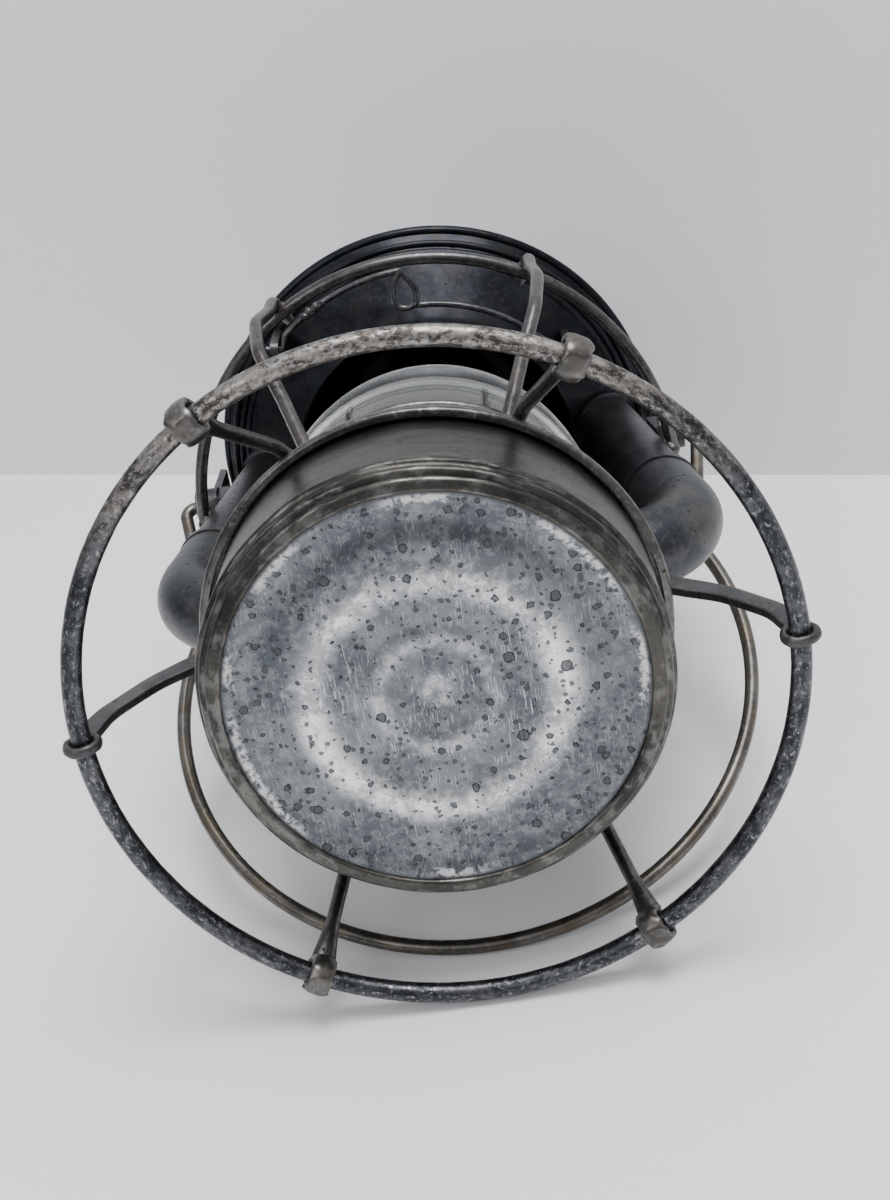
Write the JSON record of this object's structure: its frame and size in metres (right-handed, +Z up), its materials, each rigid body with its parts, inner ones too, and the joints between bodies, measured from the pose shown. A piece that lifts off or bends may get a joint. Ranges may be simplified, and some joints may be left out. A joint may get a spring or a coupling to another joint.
{
  "type": "tubular oil hand lantern",
  "caption": "Old tubular oil hand lantern with a clear short globe, wire guard on a base ring, drop-out oil fount with flat-wick burner, wide vented hood, spring clip and swinging wire bail.",
  "frame": {"origin": "on the lantern's axis, in the plane that the foot knuckles stand on", "axes": "+Z up the lantern's axis, X through both air tubes, -Y the front, where the spring clip's finger loop is"},
  "size_m": [0.18, 0.1752, 0.2546],
  "materials": {
    "base_ring": "worn dark gunmetal with rust-brown and bright bare patches",
    "strap_steel": "dark grey satin",
    "guard_steel": "dark grey satin wire",
    "drum_tin": "aged warm grey tinplate",
    "plate_tin": "aged tinplate",
    "elbow_tin": "aged grey tinplate, satin",
    "tube_tin": "dark blue-grey tinplate, satin",
    "hood_tin": "near-black blue-grey tinplate, satin",
    "flue_tin": "sooty dark tinplate",
    "ear_steel": "dark grey satin",
    "bail_steel": "dark brown oxidised wire",
    "fount_wall": "warm grey tinplate with bright worn beads",
    "fount_pan": "spotted light blue-grey tinned sheet",
    "fount_top": "aged tinplate",
    "burner_brass": "dull aged brass",
    "wick_cotton": "woven cotton",
    "globe_glass": "clear glass with a faint haze",
    "spring_wire": "grey spring wire"
  },
  "bodies": {
    "frame": {"base_ring": "base_ring", "strap_left": "strap_steel", "strap_right": "strap_steel", "guard_front_left": "guard_steel", "guard_front_right": "guard_steel", "guard_rear_left": "guard_steel", "guard_rear_right": "guard_steel", "hoop_front": "guard_steel", "hoop_rear": "guard_steel", "air_chamber": "drum_tin", "globe_plate": "plate_tin", "elbow_left": "elbow_tin", "elbow_right": "elbow_tin", "tube_left": "tube_tin", "tube_right": "tube_tin", "ferrule_left": "tube_tin", "ferrule_right": "tube_tin", "throat_cone": "hood_tin", "canopy": "hood_tin", "inner_flue": "flue_tin", "crown_pipe": "hood_tin", "crown_cap": "hood_tin", "ear_left": "ear_steel", "ear_right": "ear_steel", "clip_eyes": "ear_steel", "globe_spring": "spring_wire"},
    "bail": {"bail": "bail_steel"},
    "fount": {"fount_shell": "fount_wall", "fount_bottom": "fount_pan", "fount_top": "fount_top", "filler_neck": "burner_brass", "burner_base": "burner_brass", "burner_screen": "burner_brass", "wick_tube": "burner_brass", "burner_cone": "burner_brass"},
    "filler_cap": {"filler_cap": "burner_brass"},
    "raiser": {"wick_shaft": "burner_brass", "wick_wheels": "burner_brass", "thumb_wheel": "burner_brass"},
    "wick": {"wick": "wick_cotton"},
    "globe": {"globe": "globe_glass", "globe_cap": "flue_tin"},
    "spring_clip": {"spring_clip": "spring_wire"}
  },
  "joints": [
    {"name": "bail_swing", "type": "hinge", "parent": "frame", "child": "bail", "pos_m": [0, 0, 0.162], "axis": [1, 0, 0], "range_deg": [-3, 301]},
    {"name": "fount_drop", "type": "slide", "parent": "frame", "child": "fount", "axis": [0, 0, -1], "range_m": [0, 0.08]},
    {"name": "cap_turn", "type": "hinge", "parent": "fount", "child": "filler_cap", "pos_m": [-0.02252, -0.02252, 0.044], "axis": [0, 0, 1], "range_deg": [0, 300]},
    {"name": "wick_turn", "type": "hinge", "parent": "fount", "child": "raiser", "pos_m": [0.0048, 0, 0.053], "axis": [0, 1, 0], "range_deg": [-120, 120]},
    {"name": "wick_rise", "type": "slide", "parent": "fount", "child": "wick", "axis": [0, 0, 1], "range_m": [-0.0075, 0.0075]},
    {"name": "globe_lift", "type": "slide", "parent": "frame", "child": "globe", "axis": [0, 0, 1], "range_m": [0, 0.01], "stiffness_N_per_m": 450, "springref_m": -0.012, "deforming": ["globe_spring"]},
    {"name": "clip_swing", "type": "hinge", "parent": "frame", "child": "spring_clip", "pos_m": [-0.04376, -0.04532, 0.1676], "axis": [0.987, 0.1608, 0], "range_deg": [0, 20], "stiffness_Nm_per_rad": 0.02, "springref_deg": -11.46}
  ],
  "couplings": [
    {"joint": "wick_turn", "follows": "wick_rise", "rad_per_m": 277.78}
  ]
}
